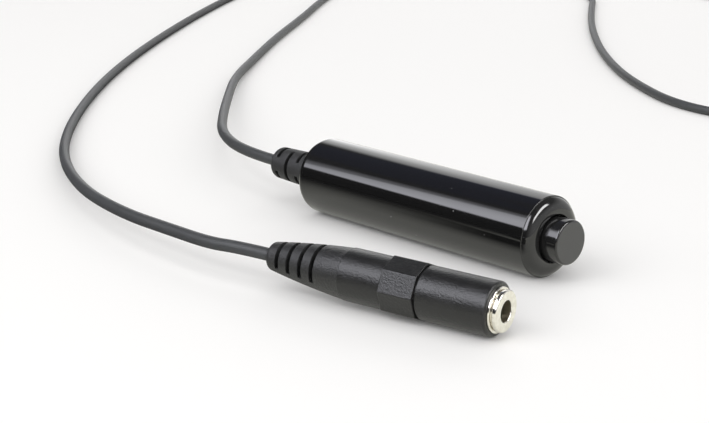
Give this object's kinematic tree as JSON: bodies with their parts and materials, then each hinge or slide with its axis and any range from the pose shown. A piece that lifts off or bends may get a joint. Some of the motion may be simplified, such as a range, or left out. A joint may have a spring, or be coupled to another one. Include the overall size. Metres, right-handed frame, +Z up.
{
  "type": "cable shutter release",
  "caption": "Hand-held wired shutter release: a cylindrical handle with a sprung thumb button on a thin cord that ends in an in-line jack socket.",
  "frame": {"origin": "on the floor, under the middle of the handle with its button and its boot", "axes": "+X along the handle from the cord to the thumb button, +Z up from the surface that it lies on"},
  "size_m": [0.3347, 0.3629, 0.015],
  "materials": {
    "gloss_black": "gloss moulded",
    "button_black": "gloss side, satin thumb face",
    "boot_rubber": "matte",
    "socket_rubber": "matte",
    "cord_jacket": "matte",
    "satin_black": "fine satin texture",
    "nickel": "turned and nickel plated",
    "insulator_black": "matte",
    "switch_grey": "matte",
    "contact_brass": "bright",
    "steel": "satin",
    "spring_steel": "drawn wire",
    "solder": "satin solder",
    "core_red": "satin insulation",
    "core_white": "satin insulation"
  },
  "bodies": {
    "release": {"handle_tube": "gloss_black", "front_bezel": "gloss_black", "switch_cover": "switch_grey", "switch_body": "switch_grey", "return_spring": "spring_steel", "contact_signal": "contact_brass", "handle_solder_signal": "solder", "handle_core_signal": "core_red", "contact_ground": "contact_brass", "handle_solder_ground": "solder", "handle_core_ground": "core_white", "handle_boot": "boot_rubber", "handle_crimp": "steel", "handle_cord_end": "cord_jacket", "socket_front_shell": "satin_black", "socket_rear_shell": "satin_black", "socket_boot": "socket_rubber", "jack_bush": "nickel", "jack_insulator": "insulator_black", "tip_terminal": "contact_brass", "sleeve_terminal": "contact_brass", "socket_solder_tip": "solder", "socket_core_tip": "core_red", "socket_solder_sleeve": "solder", "socket_core_sleeve": "core_white", "socket_crimp": "steel", "socket_cord_end": "cord_jacket", "cord": "cord_jacket"},
    "button": {"button_cap": "button_black", "plunger_stem": "steel", "contact_bridge": "contact_brass", "bridge_clip": "steel"},
    "tip_contact": {"tip_contact": "contact_brass"}
  },
  "joints": [
    {"name": "button_press", "type": "slide", "parent": "release", "child": "button", "axis": [-1, 0, 0], "range_m": [0, 0.002], "stiffness_N_per_m": 400, "springref_m": -0.004, "deforming": ["return_spring"]},
    {"name": "tip_contact_lift", "type": "hinge", "parent": "release", "child": "tip_contact", "pos_m": [0.03601, -0.03386, 0.00736], "axis": [0.2193, -0.9756, 0], "range_deg": [0, 5], "stiffness_Nm_per_rad": 0.05, "springref_deg": -1.72}
  ]
}
